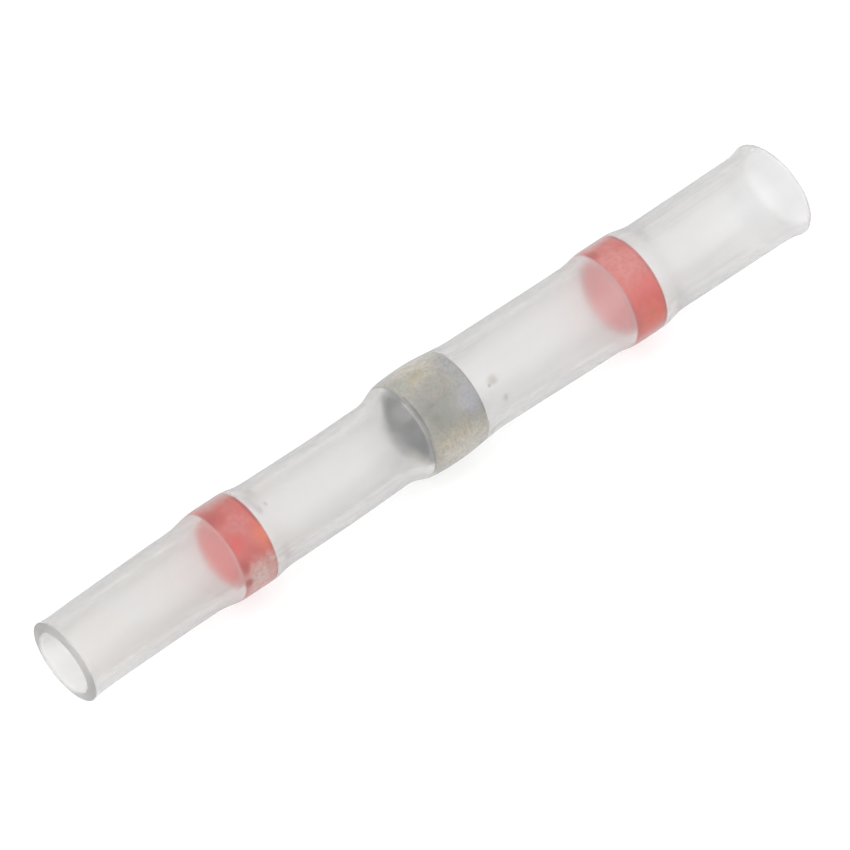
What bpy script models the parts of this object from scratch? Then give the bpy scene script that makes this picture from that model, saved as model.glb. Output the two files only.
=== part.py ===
"""Solder seal wire connector: a heat-shrink sleeve that grips a solder ring and two seal rings.

The sleeve lies along X and rests on z = 0. Its slim half, the near one, points to -X. A stripped wire goes
in at each end. When the sleeve is heated, the solder ring in the middle melts on to the bare wires, the two
seal rings melt on to the insulation, and the sleeve shrinks over all of it.

Every piece is turned about the sleeve's axis. The sleeve was extruded with one wall section and then grew
and shrank with it, so its wall is thin where its bore is wide. It takes each seat from the ring in it.
"""

import math

import bpy

MM = 0.001

# Heat-shrink sleeve. A bore is the inner radius at a place where the sleeve touches no ring.
SLEEVE_LENGTH = 40.0 * MM
SLEEVE_WALL = 0.52 * MM  # behind the near lip, its slimmest place
NEAR_END_BORE = 1.42 * MM  # behind the near lip
NEAR_NECK_BORE = 1.50 * MM  # before the near seal ring
NEAR_WAIST_BORE = 1.55 * MM  # past the near seal ring
NEAR_MIDDLE_BORE = 1.49 * MM  # before the solder ring
FAR_MIDDLE_BORE = 1.75 * MM  # past the solder ring
FAR_WAIST_BORE = 1.80 * MM  # before the far seal ring
FAR_NECK_BORE = 1.73 * MM  # past the far seal ring
FAR_END_BORE = 1.78 * MM  # behind the far lip
NEAR_LIP_FLARE = 0.10 * MM
NEAR_LIP_LENGTH = 0.70 * MM
FAR_LIP_FLARE = 0.21 * MM
FAR_LIP_LENGTH = 1.15 * MM

# Seal rings, cut from one tube of sealant. An inset runs from the sleeve's end to the ring's middle.
SEAL_WALL = 0.42 * MM
SEAL_CORNER = 0.12 * MM
NEAR_SEAL_WIDTH = 1.75 * MM
NEAR_SEAL_RADIUS = 1.71 * MM
NEAR_SEAL_INSET = 9.26 * MM
FAR_SEAL_WIDTH = 1.67 * MM
FAR_SEAL_RADIUS = 1.94 * MM
FAR_SEAL_INSET = 9.06 * MM

# Solder ring: a barrel, fullest at its crest
SOLDER_WIDTH = 2.95 * MM
SOLDER_WALL = 0.45 * MM  # at the crest
SOLDER_CORNER = 0.14 * MM
SOLDER_CREST_RADIUS = 1.965 * MM
SOLDER_CREST_SHIFT = -0.25 * MM  # from the ring's middle
SOLDER_NEAR_DROP = 0.07 * MM  # in radius, from the crest to the near edge
SOLDER_FAR_DROP = 0.15 * MM  # in radius, from the crest to the far edge
SOLDER_SHIFT = 0.30 * MM  # from the sleeve's middle

# How the sleeve lies over its rings. It rises on to a ring and falls away past it over these lengths.
SEAT_CLEARANCE = 0.03 * MM
NEAR_SEAL_RISE = 1.15 * MM
NEAR_SEAL_FALL = 0.60 * MM
SOLDER_RISE = 1.05 * MM
SOLDER_FALL = 0.85 * MM
FAR_SEAL_RISE = 0.75 * MM
FAR_SEAL_FALL = 1.05 * MM

# Facets
SIDES = 40
LIP_STEPS = 5
SHOULDER_STEPS = 6
CREST_STEPS = 5
CORNER_STEPS = 3
MERGE_DISTANCE = 0.001 * MM
SMOOTH_ANGLE = math.radians(40)

COLLECTION_NAME = "solder_seal_wire_connector"


class Ring:
    """A ring in the sleeve. Its profile is drawn about its own middle, which sits at x = middle."""

    def __init__(self, middle, width, bore, corner, outside, steps):
        self.middle = middle
        self.half = width / 2
        self.bore = bore
        self.corner = corner
        self.outside = outside  # the outer radius at each x
        self.steps = steps  # straight stretches that draw the outside

    def along(self, start, end):
        """Points of the outside from start to end."""
        places = [start + (end - start) * step / self.steps for step in range(self.steps + 1)]
        return [(x, self.outside(x)) for x in places]

    def profile(self):
        """The closed outline, from the near edge over the outside to the far edge and back along the bore."""
        inner = self.half - self.corner
        quarter = math.pi / 2
        points = rounded(-inner, self.outside(-inner) - self.corner, self.corner, 2 * quarter)
        points += self.along(-inner, inner)[1:-1]
        points += rounded(inner, self.outside(inner) - self.corner, self.corner, quarter)
        points += rounded(inner, self.bore + self.corner, self.corner, 0)
        points += rounded(-inner, self.bore + self.corner, self.corner, -quarter)
        return points

    def seat(self):
        """The sleeve's bore over this ring, which clears its outside and its edges."""
        reach = self.half + SEAT_CLEARANCE
        return [(self.middle + x, radius + SEAT_CLEARANCE) for x, radius in self.along(-reach, reach)]


def rounded(x, radius, size, start_angle):
    """A quarter circle of this size about (x, radius), clockwise from start_angle."""
    angles = [start_angle - math.pi / 2 * step / CORNER_STEPS for step in range(CORNER_STEPS + 1)]
    return [(x + size * math.cos(angle), radius + size * math.sin(angle)) for angle in angles]


def corner_within(wall, size):
    """A corner as large as asked, or as large as its wall leaves room for on both faces."""
    return min(size, 0.4 * wall)


def seal_ring(middle, width, radius):
    """A plain ring of sealant at this place, with this outer radius."""
    corner = corner_within(SEAL_WALL, SEAL_CORNER)
    return Ring(middle, width, radius - SEAL_WALL, corner, lambda x: radius, steps=1)


def solder_ring():
    """The barrel of solder. Its outside falls away from the crest as a parabola on each side."""
    half = SOLDER_WIDTH / 2

    def outside(x):
        from_crest = x - SOLDER_CREST_SHIFT
        if from_crest < 0:
            return SOLDER_CREST_RADIUS - SOLDER_NEAR_DROP * (from_crest / (half + SOLDER_CREST_SHIFT)) ** 2
        return SOLDER_CREST_RADIUS - SOLDER_FAR_DROP * (from_crest / (half - SOLDER_CREST_SHIFT)) ** 2

    thinnest = SOLDER_WALL - max(SOLDER_NEAR_DROP, SOLDER_FAR_DROP)
    corner = corner_within(thinnest, SOLDER_CORNER)
    bore = SOLDER_CREST_RADIUS - SOLDER_WALL
    return Ring(SOLDER_SHIFT, SOLDER_WIDTH, bore, corner, outside, CREST_STEPS)


def eased(start, end):
    """An S-shaped line from start to end, without start itself."""
    points = []
    for step in range(1, SHOULDER_STEPS + 1):
        share = step / SHOULDER_STEPS
        ease = share * share * (3 - 2 * share)
        points.append((start[0] + (end[0] - start[0]) * share, start[1] + (end[1] - start[1]) * ease))
    return points


def flared(mouth, inward, bore, flare, length):
    """The bell of a lip, from its mouth to the plain bore behind it. Inward is 1 or -1 along X."""
    points = []
    for step in range(LIP_STEPS + 1):
        share = step / LIP_STEPS
        points.append((mouth + inward * length * share, bore + flare * (1 - share) ** 2))
    return points


def seated(ring, rise, fall, bore_before, bore_after):
    """The bore from where it starts to rise, over the ring, to where it has fallen away."""
    seat = ring.seat()
    before = (seat[0][0] - rise, bore_before)
    after = (seat[-1][0] + fall, bore_after)
    return [before] + eased(before, seat[0]) + seat[1:] + eased(seat[-1], after)


def sleeve_bore(near_seal, solder, far_seal):
    """The sleeve's inside as points (x, radius), from its near mouth to its far mouth."""
    half = SLEEVE_LENGTH / 2
    line = flared(-half, 1, NEAR_END_BORE, NEAR_LIP_FLARE, NEAR_LIP_LENGTH)
    line += seated(near_seal, NEAR_SEAL_RISE, NEAR_SEAL_FALL, NEAR_NECK_BORE, NEAR_WAIST_BORE)
    line += seated(solder, SOLDER_RISE, SOLDER_FALL, NEAR_MIDDLE_BORE, FAR_MIDDLE_BORE)
    line += seated(far_seal, FAR_SEAL_RISE, FAR_SEAL_FALL, FAR_WAIST_BORE, FAR_NECK_BORE)
    line += reversed(flared(half, -1, FAR_END_BORE, FAR_LIP_FLARE, FAR_LIP_LENGTH))
    return line


def sleeve_outside(bore_line):
    """The same places on the sleeve's outside: the wall's cross-section is the same all along."""
    section = (NEAR_END_BORE + SLEEVE_WALL) ** 2 - NEAR_END_BORE**2
    return [(x, math.sqrt(bore**2 + section)) for x, bore in bore_line]


def principled(name, colour, roughness, metallic=0.0, transmission=0.0):
    """A material with one Principled BSDF."""
    material = bpy.data.materials.new(name)
    material.use_nodes = True
    shader = material.node_tree.nodes["Principled BSDF"]
    shader.inputs["Base Color"].default_value = (*colour, 1.0)
    shader.inputs["Roughness"].default_value = roughness
    shader.inputs["Metallic"].default_value = metallic
    shader.inputs["Transmission Weight"].default_value = transmission
    return material


def turned(name, profile, place, axis, material, collection):
    """A closed profile turned about X, with its own middle at this place on the axis."""
    outline = bpy.data.meshes.new(name)
    edges = [(index, index - 1) for index in range(len(profile))]  # run this way, the faces point outwards
    outline.from_pydata([(x, 0.0, radius) for x, radius in profile], edges, [])
    piece = bpy.data.objects.new(name, outline)
    collection.objects.link(piece)
    piece.parent = axis
    piece.location.x = place

    screw = piece.modifiers.new("Turn", "SCREW")
    screw.axis = "X"
    screw.steps = SIDES
    screw.render_steps = SIDES
    screw.use_merge_vertices = True
    screw.merge_threshold = MERGE_DISTANCE

    solid = bpy.data.meshes.new_from_object(piece.evaluated_get(bpy.context.evaluated_depsgraph_get()))
    solid.materials.append(material)
    solid.shade_smooth()
    solid.set_sharp_from_angle(angle=SMOOTH_ANGLE)
    piece.modifiers.remove(screw)
    piece.data = solid
    bpy.data.meshes.remove(outline)
    solid.name = name
    return piece


def main():
    for leftover in list(bpy.data.objects):
        bpy.data.objects.remove(leftover)
    collection = bpy.data.collections.new(COLLECTION_NAME)
    bpy.context.scene.collection.children.link(collection)

    near_seal = seal_ring(NEAR_SEAL_INSET - SLEEVE_LENGTH / 2, NEAR_SEAL_WIDTH, NEAR_SEAL_RADIUS)
    far_seal = seal_ring(SLEEVE_LENGTH / 2 - FAR_SEAL_INSET, FAR_SEAL_WIDTH, FAR_SEAL_RADIUS)
    solder = solder_ring()
    inside = sleeve_bore(near_seal, solder, far_seal)
    outside = sleeve_outside(inside)

    # The axis is turned half a facet, so that the widest place rests on a flat facet and not on an edge.
    widest = max(radius for x, radius in outside)
    axis = bpy.data.objects.new("sleeve_axis", None)
    collection.objects.link(axis)
    axis.location.z = widest * math.cos(math.pi / SIDES)
    axis.rotation_euler.x = math.pi / SIDES

    milky = principled("milky_tubing", (0.86, 0.85, 0.83), roughness=0.35, transmission=0.6)
    red = principled("red_sealant", (0.72, 0.10, 0.07), roughness=0.45)
    grey = principled("fluxed_solder", (0.42, 0.43, 0.40), roughness=0.5, metallic=0.4)
    turned("heat_shrink_sleeve", outside + inside[::-1], 0.0, axis, milky, collection)
    turned("near_seal_ring", near_seal.profile(), near_seal.middle, axis, red, collection)
    turned("far_seal_ring", far_seal.profile(), far_seal.middle, axis, red, collection)
    turned("solder_ring", solder.profile(), solder.middle, axis, grey, collection)


main()
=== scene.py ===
# %% [markdown]
# # Solder seal wire connector
# A milky heat-shrink sleeve, 40 mm long, grips three rings: two of red sealant and, between them, one of
# solder. Stripped wires go in at both ends, and one pass of hot air melts the solder, melts the sealant and
# shrinks the sleeve over the joint. This lesson dresses the bare CAD model of it: the pieces are made again
# with the small faults of real tubing, and each gets a finish built from nodes.

# %% Load the frame
import math

import bmesh
import bpy
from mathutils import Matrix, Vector


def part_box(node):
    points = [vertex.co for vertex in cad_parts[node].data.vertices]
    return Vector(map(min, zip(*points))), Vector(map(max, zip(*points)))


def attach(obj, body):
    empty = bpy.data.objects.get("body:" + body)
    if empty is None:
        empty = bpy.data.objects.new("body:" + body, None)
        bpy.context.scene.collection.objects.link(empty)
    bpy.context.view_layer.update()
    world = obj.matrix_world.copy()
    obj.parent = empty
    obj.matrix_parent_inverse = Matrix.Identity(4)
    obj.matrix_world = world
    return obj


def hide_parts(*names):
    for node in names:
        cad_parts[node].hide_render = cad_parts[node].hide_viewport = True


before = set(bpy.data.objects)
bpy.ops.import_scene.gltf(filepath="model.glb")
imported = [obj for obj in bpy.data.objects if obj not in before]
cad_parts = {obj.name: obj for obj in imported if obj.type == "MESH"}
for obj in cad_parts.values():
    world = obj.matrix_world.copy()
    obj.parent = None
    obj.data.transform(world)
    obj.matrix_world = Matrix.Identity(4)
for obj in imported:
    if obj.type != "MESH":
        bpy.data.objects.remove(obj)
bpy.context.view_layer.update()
MM = 0.001


# %% [markdown]
# ## Where things are
# Every piece is turned about one axis, which runs along X. All that this lesson needs from the CAD model is
# the height of that axis and, for each piece, its outline: the pairs of place and radius that its points lie
# on. Reading them from the frame keeps the looks on the model when a size changes.

# %% The axis and the sleeve's two lines
SLEEVE, NEAR_SEAL, SOLDER, FAR_SEAL = "heat_shrink_sleeve", "near_seal_ring", "solder_ring", "far_seal_ring"
low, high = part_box(SLEEVE)
AXIS_HEIGHT = (low.z + high.z) / 2
HALF_LENGTH = (high.x - low.x) / 2
THINNEST_WALL = 0.1 * MM


def radii(node):
    """The radii of a CAD node's points at each place along the axis."""
    stations = {}
    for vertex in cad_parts[node].data.vertices:
        x, y, z = vertex.co
        stations.setdefault(round(x, 7), []).append(math.hypot(y, z - AXIS_HEIGHT))
    return stations


stations = radii(SLEEVE)
# A place may have a point on one side of the wall alone, where the other side runs straight. It is left out
through_wall = sorted(x for x, reached in stations.items() if max(reached) - min(reached) > THINNEST_WALL)
outside_line = [(x, max(stations[x])) for x in through_wall]
bore_line = [(x, min(stations[x])) for x in through_wall]
print("The sleeve's lines have", len(through_wall), "points each, of", len(stations), "places with points")
print("Its axis is", round(AXIS_HEIGHT / MM, 3), "mm up")

# %% [markdown]
# ## Soft plastic, pressed home
# The CAD model draws the sleeve's shoulders with short straight stretches, and keeps a hair of air between
# the sleeve and its rings. In the real thing the tubing was soft when it shrank: it has no kink, and it wets
# the rings. That matters for the looks, because a layer of air mirrors the light that comes in at a low
# angle, and would hide the rings near the sleeve's edges. So both of the sleeve's lines are softened, and
# each ring is drawn a little fuller, which presses it into the sleeve's wall. The photograph shows each ring
# wetted right to its far edge, while a fine line of air is left along its near edge, so the grip grows from
# near to far. Before each ring the sleeve hardly bends the view of the ring's mouth, so along a line of sight
# its two faces are nearly parallel. So the bore is drawn from the outside and a wall whose thickness changes
# slowly, and as the line of sight runs towards the far end, the bore's shoulders come a little later.

# %% The sleeve's outline
SOFTNESS = 0.30 * MM  # how far along the sleeve a kink is spread to each side
WALL_SOFTNESS = 1.2 * MM  # the same for a change of the wall's thickness
BORE_LAG = 0.13 * MM  # how far the bore's shape follows after the outside's
LIP_ZONE = 2.0 * MM  # at both ends, where the lag fades away
RIM_BEVEL = 0.14 * MM  # how far a cut's inner edge stands out past its outer edge
STRETCH = 0.16 * MM  # between two points of a line
STEPS_ASIDE = 4  # places that a mean looks at to each side


def radius_at(line, x):
    """The radius at a place on a line, whose points are in order along X."""
    for (x0, r0), (x1, r1) in zip(line, line[1:]):
        if x <= x1:
            return r0 + (r1 - r0) * (x - x0) / (x1 - x0)
    return line[-1][1]


def mean_radius(line, x, softness):
    """The line's mean over the surroundings of a place, which shrink towards the ends."""
    spread = min(softness, HALF_LENGTH - abs(x))
    steps = range(-STEPS_ASIDE, STEPS_ASIDE + 1)
    around = [radius_at(line, x + spread * step / STEPS_ASIDE) for step in steps]
    return sum(around) / len(around)


def wall_at(x):
    """The sleeve's softened wall at a place."""
    return mean_radius(outside_line, x, WALL_SOFTNESS) - mean_radius(bore_line, x, WALL_SOFTNESS)


def sleeve_outline():
    """The outside in even stretches from the near end to the far one, then the bore back again."""
    outside, bore = [], []
    count = math.ceil(2 * HALF_LENGTH / STRETCH)
    for index in range(count + 1):
        x = HALF_LENGTH * (2 * index / count - 1)
        outside.append((x, mean_radius(outside_line, x, SOFTNESS)))
        earlier = x - BORE_LAG * min(1.0, (HALF_LENGTH - abs(x)) / LIP_ZONE)
        bore.append((x, mean_radius(outside_line, earlier, SOFTNESS) - wall_at(x)))
    for line, out in ((outside, -RIM_BEVEL / 2), (bore, RIM_BEVEL / 2)):
        line[0] = (line[0][0] - out, line[0][1])
        line[-1] = (line[-1][0] + out, line[-1][1])
    return outside + bore[::-1]


SLEEVE_OUTLINE = sleeve_outline()
print("The sleeve's outline has", len(SLEEVE_OUTLINE), "points")

# %% The rings' outlines
NEAR_GRIP = 0.045 * MM  # how much fuller a ring is drawn at its near edge
FAR_GRIP = 0.090 * MM


def ring_outline(node):
    """A ring's section bulges everywhere, so its points are in order by their angle about its middle."""
    points = {(x, round(radius, 7)) for x, reached in radii(node).items() for radius in reached}
    middle = Vector((sum(x for x, r in points), sum(r for x, r in points))) / len(points)
    start, end = min(points)[0], max(points)[0]
    outline = []
    for x, radius in points:
        if radius >= middle.y:
            radius += NEAR_GRIP + (FAR_GRIP - NEAR_GRIP) * (x - start) / (end - start)
        outline.append((x, radius))
    return sorted(outline, key=lambda point: math.atan2(point[0] - middle.x, point[1] - middle.y))


RING_OUTLINES = {name: ring_outline(name) for name in (NEAR_SEAL, SOLDER, FAR_SEAL)}
for name, ring in RING_OUTLINES.items():
    places = [round(x / MM, 2) for x, radius in ring]
    print(name, "lies from x", min(places), "to", max(places), "mm, with", len(ring), "points in its outline")

# %% [markdown]
# ## The camera
# The photograph was taken from far off: the sleeve's two ends are drawn at nearly the same scale. A long lens
# a third of a metre away does the same. The direction follows from two things that can be measured: how far
# the sleeve leans in the picture, and how round its mouth looks.

# %% Camera
AZIMUTH = math.radians(-39.9)
ELEVATION = math.radians(52.5)
DISTANCE = 0.330
FOCAL_PIXELS = 7667
PICTURE_PIXELS = 850
MIDDLE_PIXEL = (426.6, 417.3)  # where the middle of the sleeve's axis lies in the picture
SENSOR_WIDTH = 36

camera_data = bpy.data.cameras.new("camera")
camera = bpy.data.objects.new("camera", camera_data)
bpy.context.scene.collection.objects.link(camera)
bpy.context.scene.camera = camera
level = math.cos(ELEVATION)
back = Vector((math.sin(AZIMUTH) * level, -math.cos(AZIMUTH) * level, math.sin(ELEVATION)))
right = Vector((math.cos(AZIMUTH), math.sin(AZIMUTH), 0))
up = back.cross(right)
pixel = DISTANCE / FOCAL_PIXELS
half_picture = PICTURE_PIXELS / 2
aim = Vector((0, 0, AXIS_HEIGHT))
aim -= right * (MIDDLE_PIXEL[0] - half_picture) * pixel + up * (half_picture - MIDDLE_PIXEL[1]) * pixel
camera.location = aim + back * DISTANCE
camera.rotation_euler = (-back).to_track_quat("-Z", "Y").to_euler()
camera_data.sensor_width = SENSOR_WIDTH
camera_data.lens = FOCAL_PIXELS / PICTURE_PIXELS * SENSOR_WIDTH
camera_data.clip_start = DISTANCE / 100
camera_data.clip_end = DISTANCE * 100
print("A lens of", round(camera_data.lens), "mm looks down", round(math.degrees(ELEVATION), 1), "degrees")

# %% [markdown]
# ## Writing node trees
# Geometry Nodes and materials are both trees of nodes. A few short helpers keep the rest of the lesson
# readable. One adds a node and fills its sockets, with a value or with a wire from another node. Others wrap
# the nodes for arithmetic, and the last opens a new tree with named inputs and outputs.

# %% Node helpers
def add(tree, kind, wires=None, **settings):
    """A node of this kind. Wires maps an input's name or number to a value, or to an output to link."""
    made = tree.nodes.new(kind)
    for setting, value in settings.items():
        setattr(made, setting, value)
    for socket, value in (wires or {}).items():
        if isinstance(value, bpy.types.NodeSocket):
            tree.links.new(value, made.inputs[socket])
        else:
            made.inputs[socket].default_value = value
    return made


def calc(tree, operation, *values):
    """The result of one Math node."""
    return add(tree, "ShaderNodeMath", dict(enumerate(values)), operation=operation).outputs[0]


def vector_calc(tree, operation, *values):
    """The result of one Vector Math node that gives a vector."""
    return add(tree, "ShaderNodeVectorMath", dict(enumerate(values)), operation=operation).outputs[0]


def scaled(tree, vector, factor):
    """A vector times a number."""
    return add(tree, "ShaderNodeVectorMath", {0: vector, "Scale": factor}, operation="SCALE").outputs[0]


def dot(tree, first, second):
    """The dot product of two vectors."""
    wires = {0: first, 1: second}
    return add(tree, "ShaderNodeVectorMath", wires, operation="DOT_PRODUCT").outputs["Value"]


def ramp(tree, value, start, end, low=0.0, high=1.0, **settings):
    """The value carried over from the range between start and end to the one between low and high."""
    wires = {"Value": value, "From Min": start, "From Max": end, "To Min": low, "To Max": high}
    return add(tree, "ShaderNodeMapRange", wires, **settings).outputs[0]


def new_tree(name, kind, inputs, outputs):
    """An empty node tree, its Group Input's outputs by name, and its Group Output."""
    tree = bpy.data.node_groups.new(name, kind)
    for label, socket, default in inputs:
        made = tree.interface.new_socket(label, in_out="INPUT", socket_type=socket)
        if default is not None:
            made.default_value = default
    for label, socket in outputs:
        tree.interface.new_socket(label, in_out="OUTPUT", socket_type=socket)
    return tree, tree.nodes.new("NodeGroupInput").outputs, tree.nodes.new("NodeGroupOutput")


# %% [markdown]
# ## The outline of a turned piece
# The CAD model draws each outline with few points. Light that passes through milky plastic shows every kink,
# so the outline gets more points on its long stretches, and its corners are cut again and again, which rounds
# them. A knife-cut rim keeps a small round of its own this way.

# %% Finer outlines
LONGEST_STRETCH = 0.25 * MM
STRAIGHT = math.radians(2.5)  # a bend below this is left as it is


def subdivided(outline, longest):
    """The closed outline with no stretch longer than this."""
    finer = []
    for here, there in zip(outline, outline[1:] + outline[:1]):
        parts = max(1, math.ceil(math.dist(here, there) / longest))
        for part in range(parts):
            finer.append(tuple(a + (b - a) * part / parts for a, b in zip(here, there)))
    return finer


def corners_cut(outline, rounds):
    """Each corner gives way to two points a quarter of the way to its neighbours, in each round."""
    for _ in range(rounds):
        softer = []
        for before, here, after in zip(outline[-1:] + outline[:-1], outline, outline[1:] + outline[:1]):
            arriving, leaving = Vector(here) - Vector(before), Vector(after) - Vector(here)
            if arriving.angle(leaving) < STRAIGHT:
                softer.append(here)
            else:
                softer.append(tuple(Vector(here) - arriving / 4))
                softer.append(tuple(Vector(here) + leaving / 4))
        outline = softer
    return outline


def outline_object(name, outline):
    """The outline as loose points in order, for a node tree to read."""
    mesh = bpy.data.meshes.new(name)
    mesh.from_pydata([(x, 0, radius) for x, radius in outline], [], [])
    return bpy.data.objects.new(name, mesh)


# %% [markdown]
# ## Turning a piece with Geometry Nodes
# One rule makes all four pieces: a sheet with a row for each point of the outline is wrapped round the axis,
# and welded where its edges meet. The node tree is built in parts. The first lays the sheet, and finds for
# each of its points where it lies along the axis, its radius, and which way it faces from the axis.

# %% The sheet
def outline_sheet(tree, given):
    """The sheet, and its points' places along the axis, radii and directions from the axis."""
    outline = add(tree, "GeometryNodeObjectInfo", {"Object": given["Outline"]}).outputs["Geometry"]
    rows = add(tree, "GeometryNodeAttributeDomainSize", {"Geometry": outline}).outputs["Point Count"]
    columns = calc(tree, "ADD", given["Sides"], 1)
    sheet = add(tree, "GeometryNodeMeshGrid",
                {"Vertices X": calc(tree, "ADD", rows, 1), "Vertices Y": columns}).outputs["Mesh"]
    index = add(tree, "GeometryNodeInputIndex").outputs[0]
    row = calc(tree, "MODULO", calc(tree, "FLOOR", calc(tree, "DIVIDE", index, columns)), rows)
    column = calc(tree, "MODULO", index, columns)
    place = add(tree, "GeometryNodeInputPosition").outputs[0]
    sampled = add(tree, "GeometryNodeSampleIndex", {"Geometry": outline, "Value": place, "Index": row},
                  data_type="FLOAT_VECTOR")
    drawn = add(tree, "ShaderNodeSeparateXYZ", {0: sampled.outputs[0]}).outputs
    angle = calc(tree, "MULTIPLY", calc(tree, "DIVIDE", column, given["Sides"]), math.tau)
    across, upwards = calc(tree, "SINE", angle), calc(tree, "COSINE", angle)
    outward = add(tree, "ShaderNodeCombineXYZ", {"Y": across, "Z": upwards}).outputs[0]
    return sheet, drawn["X"], drawn["Z"], outward


# %% [markdown]
# ## The small faults of real tubing
# The sleeve was shrunk by hand-held heat, so its radius wanders a little, it lies in a slight bow, and a
# blade cut its ends a little askew. Every piece reads the same wander and the same bow, so the rings stay in
# their seats.

# %% Wander, bow and skew
WANDER_ROUND = 2 * MM  # how far the noise is apart on opposite sides
BOW = ((0.0, 0.16), (0.1, 0.41), (0.2, 0.51), (0.36, 0.46), (0.5, 0.61), (0.62, 0.55), (0.72, 0.44),
       (0.86, 0.41), (1.0, 0.40))  # place from the near end to the far one, and how far sideways from 0.5


def wandering_radius(tree, given, along, radius, outward):
    """The radius with a slow wave of noise over it."""
    waves = calc(tree, "DIVIDE", 1.0, given["Wander Length"])
    around = scaled(tree, outward, calc(tree, "MULTIPLY", waves, WANDER_ROUND))
    ahead = add(tree, "ShaderNodeCombineXYZ", {"X": calc(tree, "MULTIPLY", along, waves)}).outputs[0]
    spot = vector_calc(tree, "ADD", around, ahead)
    wave = add(tree, "ShaderNodeTexNoise", {"Vector": spot, "W": given["Seed"], "Scale": 1.0, "Detail": 2.0},
               noise_dimensions="4D")
    swing = calc(tree, "MULTIPLY", calc(tree, "SUBTRACT", wave.outputs[0], 0.5), 2.0)
    return calc(tree, "MULTIPLY_ADD", swing, given["Wander"], radius)


def leaning_place(tree, given, along, radius, outward):
    """The place along the axis with both ends askew. A skew's X moves the end, and its Y and Z tilt it."""
    tilting = vector_calc(tree, "ADD", outward, (1, 0, 0))
    leans = []
    for name, end in (("Near Skew", -1.0), ("Far Skew", 1.0)):
        from_end = calc(tree, "SUBTRACT", given["Half Length"], calc(tree, "MULTIPLY", along, end))
        nearness = ramp(tree, from_end, given["Skew Reach"], 0.0, interpolation_type="SMOOTHSTEP")
        slope = dot(tree, tilting, given[name])
        leans.append(calc(tree, "MULTIPLY", calc(tree, "MULTIPLY", slope, nearness), radius))
    return calc(tree, "ADD", along, calc(tree, "ADD", *leans))


def bow_sideways(tree, given, share):
    """How far the axis bows sideways, at a share of the half length from the middle."""
    curve = add(tree, "ShaderNodeFloatCurve", {"Value": calc(tree, "MULTIPLY_ADD", share, 0.5, 0.5)})
    points = curve.mapping.curves[0].points
    for spare in BOW[2:]:
        points.new(*spare)
    for point, chosen in zip(points, BOW):
        point.location = chosen
    curve.mapping.update()
    return calc(tree, "MULTIPLY", calc(tree, "SUBTRACT", curve.outputs[0], 0.5), given["Bow"])


# %% [markdown]
# ## What the finish will need to know
# A finish can't tell a cut end from a bore by itself. So the tree stores two values on each point: a mask of
# the cut ends, which on the outside reaches a little further in, where the blade dulled the rim, and the
# outwardness, which is 1 where a face looks away from the axis and -1 where it looks towards it.

# %% Stored values
CUT_SHARES = (0.9975, 0.9995)  # of the half length, where the cut face begins and is in full
WORN_SHARES = (0.9925, 0.9975)  # the same for the dulled rim on the outside
OUTSIDE_LIMITS = (-0.2, 0.2)  # outwardness where a face begins to count as outside, and does in full


def stored_values(tree, share, outward):
    """The values to store, by name."""
    outwardness = dot(tree, outward, add(tree, "GeometryNodeInputNormal").outputs[0])
    towards_end = calc(tree, "ABSOLUTE", share)
    outside = ramp(tree, outwardness, *OUTSIDE_LIMITS)
    worn = calc(tree, "MULTIPLY", ramp(tree, towards_end, *WORN_SHARES), outside)
    cut_face = calc(tree, "MAXIMUM", ramp(tree, towards_end, *CUT_SHARES), worn)
    return {"cut_face": cut_face, "outwardness": outwardness}


# %% [markdown]
# ## The whole turning tree
# The parts come together here. Each point goes to its place, the values are stored, the sheet's meeting edges
# are welded, and the tree ends with a plain, smooth mesh that has its material.

# %% The turning tree
WELD = 1e-7


def turning_tree():
    tree, given, result = new_tree("turned_piece", "GeometryNodeTree", [
        ("Outline", "NodeSocketObject", None),
        ("Sides", "NodeSocketInt", 128),
        ("Axis Height", "NodeSocketFloat", 0.0),
        ("Half Length", "NodeSocketFloat", 0.0),
        ("Wander", "NodeSocketFloat", 0.0),
        ("Wander Length", "NodeSocketFloat", 1.0),
        ("Bow", "NodeSocketFloat", 0.0),
        ("Near Skew", "NodeSocketVector", (0.0, 0.0, 0.0)),
        ("Far Skew", "NodeSocketVector", (0.0, 0.0, 0.0)),
        ("Skew Reach", "NodeSocketFloat", 1.0),
        ("Seed", "NodeSocketFloat", 0.0),
        ("Material", "NodeSocketMaterial", None),
    ], [("Geometry", "NodeSocketGeometry")])
    sheet, along, radius, outward = outline_sheet(tree, given)
    share = calc(tree, "DIVIDE", along, given["Half Length"])
    shifted = leaning_place(tree, given, along, radius, outward)
    sideways = bow_sideways(tree, given, share)
    wide = wandering_radius(tree, given, along, radius, outward)
    centre = add(tree, "ShaderNodeCombineXYZ", {"X": shifted, "Y": sideways, "Z": given["Axis Height"]})
    place = vector_calc(tree, "ADD", centre.outputs[0], scaled(tree, outward, wide))
    piece = add(tree, "GeometryNodeSetPosition", {"Geometry": sheet, "Position": place})
    for name, value in stored_values(tree, share, outward).items():
        wires = {"Geometry": piece.outputs[0], "Name": name, "Value": value}
        piece = add(tree, "GeometryNodeStoreNamedAttribute", wires, data_type="FLOAT", domain="POINT")
    piece = add(tree, "GeometryNodeMergeByDistance", {"Geometry": piece.outputs[0], "Distance": WELD})
    piece = add(tree, "GeometryNodeSetShadeSmooth", {"Geometry": piece.outputs[0]})
    piece = add(tree, "GeometryNodeRealizeInstances", {"Geometry": piece.outputs[0]})
    wires = {"Geometry": piece.outputs[0], "Material": given["Material"]}
    piece = add(tree, "GeometryNodeSetMaterial", wires)
    tree.links.new(piece.outputs[0], result.inputs["Geometry"])
    return tree


TURNED_PIECE = turning_tree()
print("The turning tree has", len(TURNED_PIECE.nodes), "nodes")

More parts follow.
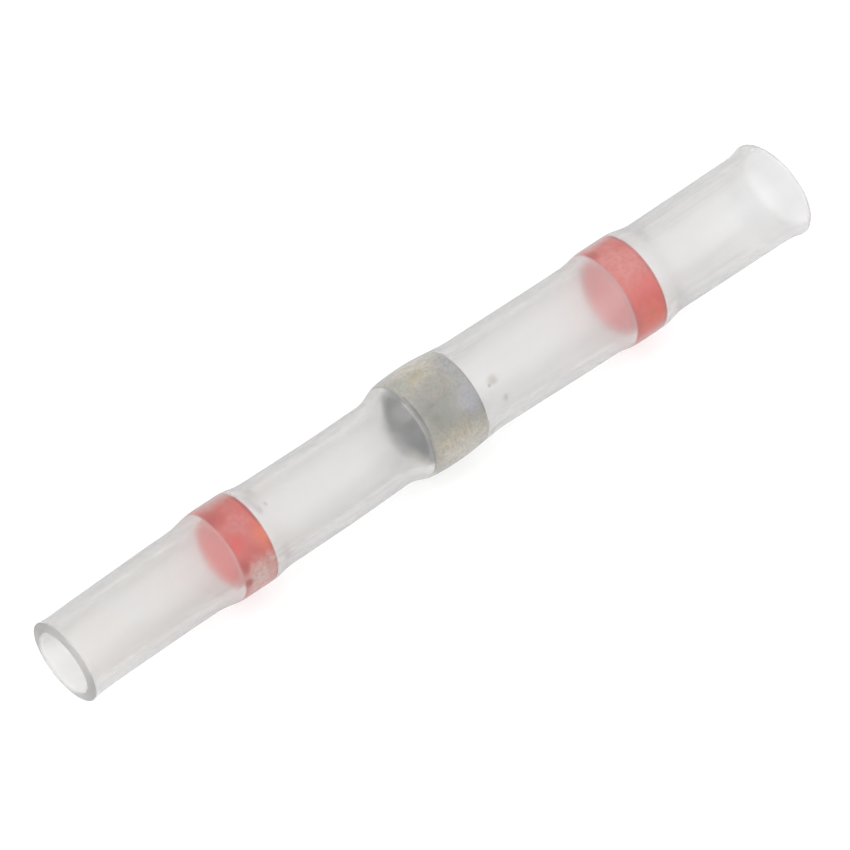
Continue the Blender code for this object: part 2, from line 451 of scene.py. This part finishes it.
# %% [markdown]
# ## Running a tree
# A modifier knows its inputs by identifiers and not by the names that people read. This helper looks the
# identifiers up, fills the inputs before the object is first evaluated, and keeps the result as a plain mesh.

# %% From tree to mesh
def grown(name, tree, values):
    """A plain mesh object made by the tree with these inputs."""
    seedling = bpy.data.objects.new(name, bpy.data.meshes.new(name))
    bpy.context.scene.collection.objects.link(seedling)
    modifier = seedling.modifiers.new("Nodes", "NODES")
    modifier.node_group = tree
    for item in tree.interface.items_tree:
        if item.in_out == "INPUT" and item.name in values:
            modifier[item.identifier] = values[item.name]
    depsgraph = bpy.context.evaluated_depsgraph_get()
    mesh = bpy.data.meshes.new_from_object(seedling.evaluated_get(depsgraph))
    seedling.modifiers.remove(modifier)
    seedling.data = mesh
    mesh.name = name
    return seedling


def solid_facts(piece):
    """How many faces a piece has, its volume, and how many of its edges don't join two faces."""
    shape = bmesh.new()
    shape.from_mesh(piece.data)
    faces = len(shape.faces)
    volume = shape.calc_volume(signed=True) / MM**3
    loose = sum(not edge.is_manifold for edge in shape.edges)
    shape.free()
    return "%s: %d faces, %.2f cubic mm, %d open edges" % (piece.name, faces, volume, loose)


# %% [markdown]
# ## Shared effects
# Three effects are used again and again in the finishes, so each is a node group. Clouds are soft patches
# that vary from place to place. A stain is one patch at a chosen spot, with a ragged edge. Draw lines are the
# faint lengthwise lines that a die leaves on drawn tubing. Each gives a mask or a height, and never a shader.

# %% Clouds
def clouds_group():
    """Soft patches as a mask from 0 to 1."""
    tree, given, result = new_tree("clouds", "ShaderNodeTree", [
        ("Vector", "NodeSocketVector", None),
        ("Patch Size", "NodeSocketFloat", 1.0),
        ("Sharpness", "NodeSocketFloat", 2.0),
        ("Cover", "NodeSocketFloat", 0.5),
        ("Seed", "NodeSocketFloat", 0.0),
    ], [("Mask", "NodeSocketFloat")])
    scale = calc(tree, "DIVIDE", 1.0 / MM, given["Patch Size"])
    wires = {"Vector": given["Vector"], "W": given["Seed"], "Scale": scale, "Detail": 4.0, "Roughness": 0.55}
    field = add(tree, "ShaderNodeTexNoise", wires, noise_dimensions="4D")
    centred = calc(tree, "SUBTRACT", calc(tree, "ADD", field.outputs[0], given["Cover"]), 1.0)
    wires = {0: centred, 1: given["Sharpness"], 2: 0.5}
    mask = add(tree, "ShaderNodeMath", wires, operation="MULTIPLY_ADD", use_clamp=True)
    tree.links.new(mask.outputs[0], result.inputs["Mask"])
    return tree


# %% Stains
def stain_group():
    """One patch round a centre, as a mask that fades over its soft edge."""
    tree, given, result = new_tree("stain", "ShaderNodeTree", [
        ("Vector", "NodeSocketVector", None),
        ("Centre", "NodeSocketVector", None),
        ("Size", "NodeSocketVector", (1.0, 1.0, 1.0)),
        ("Soft Edge", "NodeSocketFloat", 0.5),
        ("Ragged", "NodeSocketFloat", 0.3),
        ("Ragged Size", "NodeSocketFloat", 0.4),
    ], [("Mask", "NodeSocketFloat")])
    away = vector_calc(tree, "SUBTRACT", given["Vector"], given["Centre"])
    away = vector_calc(tree, "DIVIDE", away, given["Size"])
    reach = add(tree, "ShaderNodeVectorMath", {0: away}, operation="LENGTH").outputs["Value"]
    scale = calc(tree, "DIVIDE", 1.0 / MM, given["Ragged Size"])
    field = add(tree, "ShaderNodeTexNoise", {"Vector": given["Vector"], "Scale": scale, "Detail": 3.0})
    torn = calc(tree, "MULTIPLY_ADD", calc(tree, "SUBTRACT", field.outputs[0], 0.5), given["Ragged"], reach)
    inner = calc(tree, "SUBTRACT", 1.0, given["Soft Edge"])
    outer = calc(tree, "ADD", 1.0, given["Soft Edge"])
    mask = ramp(tree, torn, outer, inner, interpolation_type="SMOOTHSTEP")
    tree.links.new(mask, result.inputs["Mask"])
    return tree


# %% Draw lines
def draw_lines_group():
    """Faint lines along X, as a height from 0 to 1."""
    tree, given, result = new_tree("draw_lines", "ShaderNodeTree", [
        ("Vector", "NodeSocketVector", None),
        ("Spacing", "NodeSocketFloat", 0.2),
        ("Line Length", "NodeSocketFloat", 6.0),
        ("Seed", "NodeSocketFloat", 0.0),
    ], [("Height", "NodeSocketFloat")])
    fine = calc(tree, "DIVIDE", 1.0 / MM, given["Spacing"])
    coarse = calc(tree, "DIVIDE", 1.0 / MM, given["Line Length"])
    stretched = add(tree, "ShaderNodeCombineXYZ", {"X": coarse, "Y": fine, "Z": fine}).outputs[0]
    spot = vector_calc(tree, "MULTIPLY", given["Vector"], stretched)
    field = add(tree, "ShaderNodeTexNoise", {"Vector": spot, "W": given["Seed"], "Scale": 1.0, "Detail": 2.0},
                noise_dimensions="4D")
    tree.links.new(field.outputs[0], result.inputs["Height"])
    return tree


CLOUDS, STAIN, DRAW_LINES = clouds_group(), stain_group(), draw_lines_group()
print("Shared effects:", [group.name for group in (CLOUDS, STAIN, DRAW_LINES)])

# %% [markdown]
# ## Building a finish
# These helpers keep the finishes short. They open a material, place a shared effect in it, mix two colours
# and make masks. The turning tree stored how far each face looks away from the axis, so a finish can tell a
# bore from an outside.

# %% Material helpers
def material_named(name):
    """A new material, its tree and its one Principled BSDF."""
    material = bpy.data.materials.new(name)
    material.use_nodes = True
    return material, material.node_tree, material.node_tree.nodes["Principled BSDF"]


def here(tree):
    """The shaded point in the piece's own coordinates."""
    return add(tree, "ShaderNodeTexCoord").outputs["Object"]


def place_along(tree, spot):
    """How far along the axis the shaded point lies."""
    return add(tree, "ShaderNodeSeparateXYZ", {0: spot}).outputs["X"]


def stored(tree, name):
    """A value that the turning tree stored."""
    return add(tree, "ShaderNodeAttribute", attribute_name=name).outputs["Fac"]


def effect(tree, group, values):
    """The mask or height that a shared effect gives with these values."""
    return add(tree, "ShaderNodeGroup", values, node_tree=group).outputs[0]


def clouds(tree, spot, size, sharpness, cover, seed):
    """The mask of soft patches, whose size is in mm."""
    values = {"Vector": spot, "Patch Size": size, "Sharpness": sharpness, "Cover": cover, "Seed": seed}
    return effect(tree, CLOUDS, values)


def mixed(tree, share, first, second):
    """A colour between two colours, each given as red, green and blue, or as an output to link."""
    first, second = ((*colour, 1) if isinstance(colour, tuple) else colour for colour in (first, second))
    return add(tree, "ShaderNodeMix", {0: share, 6: first, 7: second}, data_type="RGBA").outputs[2]


def inward(tree, start=0.7, end=0.3):
    """A mask of the faces that look towards the axis, from one outwardness down to another."""
    return ramp(tree, stored(tree, "outwardness"), start, end)


def band(tree, value, rise, fall):
    """A mask that rises from 0 to 1 over one range of the value and falls back over another."""
    return calc(tree, "SUBTRACT", ramp(tree, value, *rise), ramp(tree, value, *fall))


# %% [markdown]
# ## Marks from a list
# The photograph shows marks at particular places, and some lists also hold painted highlights and painted
# shade. Each is one entry in a list: how far along the axis it lies, how far round and how far out, how big
# and how soft it is, and its colour. One helper lays such a list over a colour. The other draws thin, broken
# lines round the axis.

# %% Marks on a piece
RAGGED = {"Ragged": 1.1, "Ragged Size": 0.35}


def stained(tree, spot, colour, marks, within=1.0):
    """The colour with marks over it. Turns are from straight up towards +Y, and lengths are in mm."""
    for x, turn, radius, (length, width), soft, paint in marks:
        angle = math.radians(turn)
        centre = (x * MM, radius * math.sin(angle) * MM, radius * math.cos(angle) * MM + AXIS_HEIGHT)
        size = (length * MM, width * MM, width * MM)
        values = {"Vector": spot, "Centre": centre, "Size": size, "Soft Edge": soft, **RAGGED}
        mask = effect(tree, STAIN, values)
        colour = mixed(tree, calc(tree, "MULTIPLY", mask, within), colour, paint)
    return colour


def lined(tree, spot, colour, lines):
    """The colour with thin lines round the axis. Each has its place and half width in mm, and its colour."""
    along = place_along(tree, spot)
    breaks = clouds(tree, spot, size=0.5, sharpness=3.0, cover=0.75, seed=7.0)
    for x, half_width, paint in lines:
        off = calc(tree, "ABSOLUTE", calc(tree, "SUBTRACT", along, x * MM))
        mask = ramp(tree, off, half_width * MM, half_width * MM / 3)
        colour = mixed(tree, calc(tree, "MULTIPLY", mask, breaks), colour, paint)
    return colour


# %% [markdown]
# ## The milky sleeve
# The tubing is a semi-clear plastic. Small crystals in it scatter light, so what touches it from inside looks
# sharp and what is further in looks blurred and pale. A rough, transmitting surface does just that, without a
# volume, which would be slow. A little of the surface stays opaque for the milkiness, and a sheen lays a pale
# veil over the edges. Where the line of sight skims the bore the light crosses the most plastic, which greys
# it, so the tint follows Layer Weight: this grey is painted shade, and so is a grey inside the far mouth. A
# few smudges lie on the bore; before the solder, one is painted shade at the edge of the ring's dark mouth
# and one is olive flux that also paints shade over the shoulder.

# %% The sleeve's tint
FLARE_ZONE = (18.2 * MM, 19.0 * MM)  # along the axis, where the far mouth begins and is in full
SKIRTING = ((0.16, 0.36), (0.46, 0.66))  # facing, where the way through the wall grows and falls back
SKIMMING = (0.55, 0.90)  # facing, towards the very edge
FINE_LINES = (0.50, 0.60)  # heights of the draw lines that show as streaks
CLEAR, CLEAR_NEAR, HAZY = (0.99, 0.98, 0.975), (0.93, 0.905, 0.888), (0.95, 0.955, 0.955)
# Painted shade for the sleeve's edges, where the line of sight skims the bore
SKIRT_SHADE, SKIRT_SHADE_NEAR, SKIM_SHADE = (0.92, 0.905, 0.895), (0.83, 0.81, 0.79), (0.78, 0.77, 0.76)
# The first colour here is painted shade inside the far mouth
FLARE_SHADE, STREAKED, CUT_WHITE = (0.85, 0.85, 0.86), (0.74, 0.73, 0.72), (1.0, 1.0, 1.0)
SMUDGES_AND_SHADE = (
    (-9.57, -9.0, 1.53, (0.14, 0.20), 0.9, (0.52, 0.42, 0.50)),  # past the near seal ring
    (-9.09, -5.9, 1.53, (0.05, 0.10), 0.9, (0.44, 0.36, 0.44)),
    (-9.65, 8.0, 1.53, (0.18, 0.30), 0.9, (0.72, 0.66, 0.69)),
    (2.72, -37.4, 1.76, (0.22, 0.18), 0.9, (0.60, 0.52, 0.46)),  # past the solder ring
    (2.45, -41.0, 1.76, (0.08, 0.06), 0.9, (0.50, 0.43, 0.37)),
    (2.97, -69.5, 1.76, (0.12, 0.15), 0.9, (0.62, 0.56, 0.51)),
    (-1.28, 152.0, 1.74, (0.15, 1.00), 0.8, (0.20, 0.20, 0.21)),  # painted shade at the edge of the solder ring's dark mouth
    # Olive flux before the solder ring, which also paints shade over the shoulder
    (-1.40, 62.0, 1.80, (0.35, 0.60), 0.9, (0.58, 0.57, 0.51)),
)


def tubing_tint(tree, spot, facing, inner, cut, haze):
    """The tint that the plastic gives to the light through it."""
    # Warm towards the near end, and greyer at the flare, which is painted shade inside the far mouth
    along = place_along(tree, spot)
    nearness = ramp(tree, along, 0.0, -HALF_LENGTH)
    tint = mixed(tree, haze, mixed(tree, nearness, CLEAR, CLEAR_NEAR), HAZY)
    tint = mixed(tree, ramp(tree, along, *FLARE_ZONE), tint, FLARE_SHADE)

    # Painted shade: greyer where the line of sight skims the bore, standing for its longest way through the
    # wall
    skirting = band(tree, facing, *SKIRTING)
    tint = mixed(tree, skirting, tint, mixed(tree, nearness, SKIRT_SHADE, SKIRT_SHADE_NEAR))
    skimming = ramp(tree, facing, *SKIMMING)
    tint = mixed(tree, calc(tree, "MULTIPLY", skimming, inner), tint, SKIM_SHADE)

    # Streaky in places there, smudged on the bore, with painted shade among the smudges, and white at the
    # cuts
    streaks = effect(tree, DRAW_LINES, {"Vector": spot, "Spacing": 0.12, "Line Length": 14.0, "Seed": 6.0})
    streaky = clouds(tree, spot, size=4.0, sharpness=5.0, cover=0.5, seed=2.0)
    streaky = calc(tree, "MULTIPLY", streaky, skirting)
    tint = mixed(tree, calc(tree, "MULTIPLY", ramp(tree, streaks, *FINE_LINES), streaky), tint, STREAKED)
    tint = stained(tree, spot, tint, SMUDGES_AND_SHADE, inner)
    return mixed(tree, cut, tint, CUT_WHITE)


# %% The sleeve's surface
WETTED_ZONE = (3.6 * MM, 2.2 * MM)  # off the middle, from where flux wets the bore to where it does in full
SATIN = (0.22, 0.26)  # roughness without haze and in full haze
WETTED_SHINE = 0.05  # how much less rough the wetted part is
MIRRORING = (0.16, 0.34)  # facing, where the bore begins to mirror and does in full
MIRROR_BLUR = 0.27
CUT_DULLNESS = 0.85
LINE_DEPTH = 0.0014 * MM


def tubing_surface(tree, spot, facing, inner, cut, haze):
    """Roughness and normal: satin, clearer where wetted, blurred where the bore mirrors, dull at the cuts."""
    off_middle = calc(tree, "ABSOLUTE", place_along(tree, spot))
    wetted = ramp(tree, off_middle, *WETTED_ZONE)
    rough = ramp(tree, haze, 0.0, 1.0, *SATIN)
    rough = calc(tree, "SUBTRACT", rough, calc(tree, "MULTIPLY", wetted, WETTED_SHINE))
    mirroring = ramp(tree, facing, *MIRRORING, 0.0, MIRROR_BLUR)
    rough = calc(tree, "MAXIMUM", rough, calc(tree, "MULTIPLY", inner, mirroring))
    rough = calc(tree, "MAXIMUM", rough, calc(tree, "MULTIPLY", cut, CUT_DULLNESS))
    lines = effect(tree, DRAW_LINES, {"Vector": spot, "Spacing": 0.22, "Line Length": 14.0, "Seed": 1.0})
    lines = calc(tree, "MULTIPLY", lines, calc(tree, "SUBTRACT", 1.0, wetted))
    bump = add(tree, "ShaderNodeBump", {"Strength": 1.0, "Distance": LINE_DEPTH, "Height": lines})
    return rough, bump.outputs[0]


def milky_tubing():
    material, tree, shader = material_named("milky_tubing")
    spot = here(tree)
    facing = add(tree, "ShaderNodeLayerWeight", {"Blend": 0.5}).outputs["Facing"]
    haze = clouds(tree, spot, size=3.0, sharpness=2.0, cover=0.5, seed=3.0)
    masks = (spot, facing, inward(tree), stored(tree, "cut_face"), haze)
    rough, normal = tubing_surface(tree, *masks)
    tree.links.new(tubing_tint(tree, *masks), shader.inputs["Base Color"])
    tree.links.new(rough, shader.inputs["Roughness"])
    tree.links.new(normal, shader.inputs["Normal"])
    shader.inputs["Transmission Weight"].default_value = 0.9
    shader.inputs["IOR"].default_value = 1.5
    shader.inputs["Sheen Weight"].default_value = 0.45
    shader.inputs["Sheen Roughness"].default_value = 0.4
    return material


MILKY_TUBING = milky_tubing()
print("The tubing's finish has", len(MILKY_TUBING.node_tree.nodes), "nodes and", len(SMUDGES_AND_SHADE), "smudges")

# %% [markdown]
# ## The red sealant
# The seal rings are cut from tube of hot-melt sealant: waxy, and mottled where they are wetted against the
# sleeve. Each has its own marks, which the photograph shows: a pale patch where the sealant is thin, a dark
# blot, an orange corner. Their bores are painted paler and pinker, which is painted light for the haze of the
# sleeve over them.

# %% Sealant finish
SEAL_RED, SEAL_ROSE, MOTTLE_RED = (0.68, 0.045, 0.025), (0.74, 0.15, 0.12), (0.64, 0.03, 0.015)
NEAR_BORE_HAZE_LIGHT, FAR_BORE_HAZE_LIGHT = (0.98, 0.23, 0.20), (0.90, 0.30, 0.30)
DEEP = (0.52, 0.03, 0.02)
MOTTLED = 0.40  # how strongly the mottles show
WAXY = (0.35, 0.50)  # roughness between the rosy patches and on them
SEAL_MARKS = (
    (-10.72, -11.0, 1.70, (0.45, 0.42), 0.80, (0.74, 0.20, 0.18)),
    (-11.50, 17.5, 1.70, (0.40, 0.50), 0.80, DEEP),
    (-10.50, 52.0, 1.70, (0.90, 0.55), 0.60, (0.64, 0.34, 0.30)),
    (-11.30, -34.0, 1.70, (0.50, 0.34), 0.70, (0.80, 0.02, 0.01)),
    (-10.85, -52.0, 1.70, (0.55, 0.45), 0.80, (0.66, 0.04, 0.02)),
    (-10.12, -39.0, 1.70, (0.32, 0.60), 0.70, (0.84, 0.12, 0.015)),  # the orange corner
    (-10.75, -89.0, 1.70, (0.72, 0.70), 0.80, (0.90, 0.68, 0.62)),  # the pale patch
    (-10.10, -76.0, 1.70, (0.30, 0.30), 0.70, (0.76, 0.45, 0.40)),
    (-11.41, -62.6, 1.70, (0.20, 0.30), 0.60, DEEP),
    (-11.45, -91.5, 1.70, (0.20, 0.22), 0.50, DEEP),  # the dark blot
    (10.80, -4.6, 1.94, (0.95, 1.00), 0.70, (0.80, 0.26, 0.23)),
    (10.24, 30.4, 1.94, (0.26, 0.30), 0.60, DEEP),
    (10.95, 60.0, 1.94, (0.85, 0.60), 0.70, (0.64, 0.36, 0.32)),
    (11.11, -52.0, 1.94, (0.80, 0.60), 0.80, (0.80, 0.065, 0.04)),
    (11.05, -86.0, 1.94, (0.60, 0.70), 0.70, (0.92, 0.085, 0.012)),
    (11.00, -76.0, 1.94, (0.16, 0.14), 0.80, (0.62, 0.20, 0.02)),
)
SEAL_LINES = ((-9.96, 0.09, (0.42, 0.03, 0.02)), (11.67, 0.09, (0.36, 0.08, 0.11)))  # dark far edges


def red_sealant():
    material, tree, shader = material_named("red_sealant")
    spot = here(tree)
    patches = clouds(tree, spot, size=0.7, sharpness=3.0, cover=0.5, seed=8.0)
    colour = mixed(tree, patches, SEAL_RED, SEAL_ROSE)
    colour = lined(tree, spot, colour, SEAL_LINES)
    colour = stained(tree, spot, colour, SEAL_MARKS)
    mottles = clouds(tree, spot, size=0.20, sharpness=4.0, cover=0.5, seed=12.0)
    colour = mixed(tree, ramp(tree, mottles, 0.0, 1.0, 0.0, MOTTLED), colour, MOTTLE_RED)
    farther = calc(tree, "GREATER_THAN", place_along(tree, spot), 0.0)
    # Painted light: the bores paler and pinker, for the haze of the sleeve over them
    colour = mixed(tree, inward(tree), colour, mixed(tree, farther, NEAR_BORE_HAZE_LIGHT, FAR_BORE_HAZE_LIGHT))
    tree.links.new(colour, shader.inputs["Base Color"])
    tree.links.new(ramp(tree, patches, 0.0, 1.0, *WAXY), shader.inputs["Roughness"])
    return material


RED_SEALANT = red_sealant()
print("The sealant's finish has", len(SEAL_MARKS), "marks on its two rings")

# %% [markdown]
# ## The solder and its flux
# The solder is a dull grey alloy. Its flux, a resin, dried on it in yellow and olive stains, with rusty
# patches and a fine dark grain; the pale resin at its top and bottom is partly painted light from the
# sleeve's veil. Inside the ring hardly any light arrives and there is no flux, so the bore and the near face
# stay a dark, plain grey, which is painted shade, but for a pale spot low on that face, a painted highlight
# in a thin bright line along its lip, and a dark line of painted shade beside it.

# %% Solder finish
BARE_SOLDER, FLUXED, RUSTY = (0.37, 0.38, 0.375), (0.51, 0.49, 0.41), (0.44, 0.34, 0.28)
GRAIN, SHADED = (0.22, 0.21, 0.17), (0.25, 0.255, 0.26)
RUSTED, GRAINED = 0.5, 0.38  # how strongly the rust and the grain show
DULL = (0.4, 0.6)  # roughness of bare solder and of flux
FLUX_MARKS_AND_LIGHT = (
    (-0.20, -33.0, 1.93, (0.90, 0.75), 0.90, (0.26, 0.27, 0.24)),
    (-0.55, -39.1, 1.93, (0.22, 0.30), 0.90, (0.22, 0.23, 0.17)),  # the olive stain
    (1.30, -40.5, 1.88, (0.50, 0.70), 0.80, (0.40, 0.41, 0.46)),  # bluish, with hardly any flux
    (-0.04, -74.0, 1.96, (1.00, 0.50), 0.80, (0.56, 0.50, 0.36)),
    (0.30, -95.0, 1.96, (1.90, 0.70), 0.70, (0.82, 0.78, 0.68)),  # pale resin low in front, partly painted light from the sleeve's veil
    (0.19, 38.0, 1.96, (1.50, 0.85), 0.60, (0.78, 0.74, 0.64)),  # and high behind, partly painted light from the sleeve's veil as well
    (-0.10, 22.0, 1.96, (0.60, 0.30), 0.80, (0.56, 0.50, 0.36)),
    (1.52, 8.6, 1.85, (0.45, 0.80), 0.80, (0.50, 0.51, 0.54)),
    (0.17, -12.0, 1.96, (0.45, 0.35), 0.80, (0.42, 0.39, 0.35)),
    (-0.80, 25.4, 1.92, (0.35, 0.50), 0.80, (0.50, 0.52, 0.46)),
)
RIM_MARKS_AND_SHADE = (
    (-1.18, -147.0, 1.62, (0.30, 0.95), 0.50, (0.68, 0.66, 0.60)),  # the pale spot
    (-1.18, -25.0, 1.75, (0.10, 0.80), 0.40, (0.36, 0.36, 0.35)),
    (-1.09, -24.0, 1.88, (0.04, 0.90), 0.40, (0.18, 0.18, 0.16)),  # painted shade: a dark line outside the bright one
)
LIP_HIGHLIGHT = ((-1.12, -25.0, 1.56, (0.25, 0.85), 0.40, (0.90, 0.90, 0.88)),)  # painted highlight: the bright line along the lip
LIP_BEGINS, LIP_ENDS = (0.1, -0.3), (-0.6, -0.95)  # outwardness


def fluxed_solder():
    material, tree, shader = material_named("fluxed_solder")
    spot = here(tree)
    flux = clouds(tree, spot, size=0.6, sharpness=3.5, cover=0.52, seed=5.0)
    colour = mixed(tree, flux, BARE_SOLDER, FLUXED)
    # Flux stains; the pale resin at the top and bottom is partly painted light
    colour = stained(tree, spot, colour, FLUX_MARKS_AND_LIGHT)
    rusty = clouds(tree, spot, size=0.4, sharpness=4.0, cover=0.40, seed=11.0)
    colour = mixed(tree, ramp(tree, rusty, 0.0, 1.0, 0.0, RUSTED), colour, RUSTY)
    grain = clouds(tree, spot, size=0.12, sharpness=5.0, cover=0.46, seed=9.0)
    colour = mixed(tree, ramp(tree, grain, 0.0, 1.0, 0.0, GRAINED), colour, GRAIN)
    colour = mixed(tree, inward(tree), colour, SHADED)
    # A pale spot and a grey on the near face, and painted shade in a dark line beside the lip
    colour = stained(tree, spot, colour, RIM_MARKS_AND_SHADE)
    lip = calc(tree, "SUBTRACT", inward(tree, *LIP_BEGINS), inward(tree, *LIP_ENDS))
    # Painted highlight: a thin bright line along the near face's lip
    colour = stained(tree, spot, colour, LIP_HIGHLIGHT, lip)
    tree.links.new(colour, shader.inputs["Base Color"])
    tree.links.new(ramp(tree, flux, 0.0, 1.0, *DULL), shader.inputs["Roughness"])
    shader.inputs["Metallic"].default_value = 0.4
    return material


FLUXED_SOLDER = fluxed_solder()
print("The solder's finish has", len(FLUX_MARKS_AND_LIGHT + RIM_MARKS_AND_SHADE + LIP_HIGHLIGHT), "marks")

# %% [markdown]
# ## Making the pieces
# All four pieces come from the turning tree, each with its own outline and finish. Each takes the place of
# its CAD node.

# %% The pieces
CORNER_ROUNDS = 2
shared_values = {
    "Sides": 128, "Axis Height": AXIS_HEIGHT, "Half Length": HALF_LENGTH,
    "Wander": 0.015 * MM, "Wander Length": 3.5 * MM, "Bow": 0.60 * MM, "Seed": 4.0, "Skew Reach": 3.0 * MM,
    "Near Skew": (-0.03, -0.045, -0.027), "Far Skew": (-0.06, -0.087, 0.002),
}
for name, outline, finish, slot in (
    (SLEEVE, SLEEVE_OUTLINE, MILKY_TUBING, "milky_tubing"),
    (NEAR_SEAL, RING_OUTLINES[NEAR_SEAL], RED_SEALANT, "red_sealant"),
    (FAR_SEAL, RING_OUTLINES[FAR_SEAL], RED_SEALANT, "red_sealant"),
    (SOLDER, RING_OUTLINES[SOLDER], FLUXED_SOLDER, "fluxed_solder"),
):
    finer = corners_cut(subdivided(outline, LONGEST_STRETCH), CORNER_ROUNDS)
    guide = outline_object(name + "_outline", finer)
    piece = grown("turned_" + name, TURNED_PIECE, {**shared_values, "Outline": guide, "Material": finish})
    bpy.data.objects.remove(guide)
    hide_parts(name)
    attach(piece, "root")
    print(solid_facts(piece))

# %% [markdown]
# ## The stage
# The floor is plain and white. The part of it that the lamps light is a little under white, and a faint glow,
# which only the camera, reflections and light through the sleeve see, lifts it to white and leaves the
# sleeve's soft shadow on it. Seen through the plastic, the glow is brightest in front of the sleeve, weaker
# under it, weakest a few millimetres behind it and a little stronger again beyond. Those grey stretches are
# what draws the sleeve's edges, as in the photograph.

# %% Floor
FLOOR_SIZE = 4.0
FLOOR_DROP = 0.03 * MM  # under the sleeve's belly
FLOOR_GREY = (0.66, 0.66, 0.66, 1)
FLOOR_GLOW = 0.63  # to the camera
UNDER_GLOW = 0.45  # through the sleeve, from right under it
GLOW_CHANGES = (  # where along Y the glow through the sleeve begins and ends a change, in mm, and to what
    (1.5, 6.0, 0.28),
    (0.6, -1.0, 0.60),
    (5.0, 12.0, 0.38),
)
DIM_GLOW = 0.08  # to light on its way, which makes up for the floor's darker paint


def floor_paint():
    material = bpy.data.materials.new("floor_paint")
    material.use_nodes = True
    tree = material.node_tree
    tree.nodes.clear()
    lit = add(tree, "ShaderNodeBsdfDiffuse", {"Color": FLOOR_GREY})
    path = add(tree, "ShaderNodeLightPath").outputs
    behind = add(tree, "ShaderNodeSeparateXYZ", {0: here(tree)}).outputs["Y"]
    through = UNDER_GLOW
    for start, end, glow in GLOW_CHANGES:
        through = ramp(tree, behind, start * MM, end * MM, through, glow)
    indirect = calc(tree, "MAXIMUM", path["Is Glossy Ray"], path["Is Transmission Ray"])
    direct = calc(tree, "MULTIPLY", path["Is Camera Ray"], FLOOR_GLOW)
    strength = calc(tree, "ADD", direct, calc(tree, "MULTIPLY", indirect, through))
    strength = calc(tree, "MAXIMUM", strength, DIM_GLOW)
    glow = add(tree, "ShaderNodeEmission", {"Color": (1, 1, 1, 1), "Strength": strength})
    both = add(tree, "ShaderNodeAddShader", {0: lit.outputs[0], 1: glow.outputs[0]})
    add(tree, "ShaderNodeOutputMaterial", {"Surface": both.outputs[0]})
    return material


floor_mesh = bpy.data.meshes.new("floor")
edge = FLOOR_SIZE / 2
corners = [(x, y, -FLOOR_DROP) for x, y in ((-edge, -edge), (edge, -edge), (edge, edge), (-edge, edge))]
floor_mesh.from_pydata(corners, [], [(0, 1, 2, 3)])
floor_mesh.materials.append(floor_paint())
floor = bpy.data.objects.new("floor", floor_mesh)
bpy.context.scene.collection.objects.link(floor)
print("The floor is", FLOOR_SIZE, "m wide")

# %% [markdown]
# ## The light
# The photograph has soft light from all sides and no hard shadow. A white world gives it, a little brighter
# to the camera, to reflections and through the plastic than to the pieces themselves. Two large softboxes add
# the little direction that there is.

# %% World and lamps
SKY = 0.6
SKY_MIRRORED = 0.4  # more, to the camera and to reflections
SKY_THROUGH = 0.48  # more, through the plastic

world = bpy.data.worlds.new("studio")
bpy.context.scene.world = world
world.use_nodes = True
tree = world.node_tree
sky = tree.nodes["Background"]
sky.inputs["Color"].default_value = (1, 1, 1, 1)
path = add(tree, "ShaderNodeLightPath").outputs
direct = calc(tree, "MAXIMUM", path["Is Camera Ray"], path["Is Glossy Ray"])
mirrored = calc(tree, "MULTIPLY", direct, SKY_MIRRORED)
through = calc(tree, "MULTIPLY", path["Is Transmission Ray"], SKY_THROUGH)
strength = calc(tree, "ADD", calc(tree, "ADD", mirrored, through), SKY)
tree.links.new(strength, sky.inputs["Strength"])

LAMPS = (
    ("key_softbox", (-0.30, 0.10, 0.60), 0.50, 1.2),
    ("fill_softbox", (0.30, -0.45, 0.45), 0.50, 0.6),
)
for name, place, size, watts in LAMPS:
    data = bpy.data.lights.new(name, "AREA")
    data.size = size
    data.energy = watts
    lamp = bpy.data.objects.new(name, data)
    lamp.location = place
    lamp.rotation_euler = (-Vector(place)).to_track_quat("-Z", "Y").to_euler()
    bpy.context.scene.collection.objects.link(lamp)
print("The stage has", len(LAMPS), "lamps")

# %% View settings and the end
bpy.context.scene.view_settings.view_transform = "Standard"
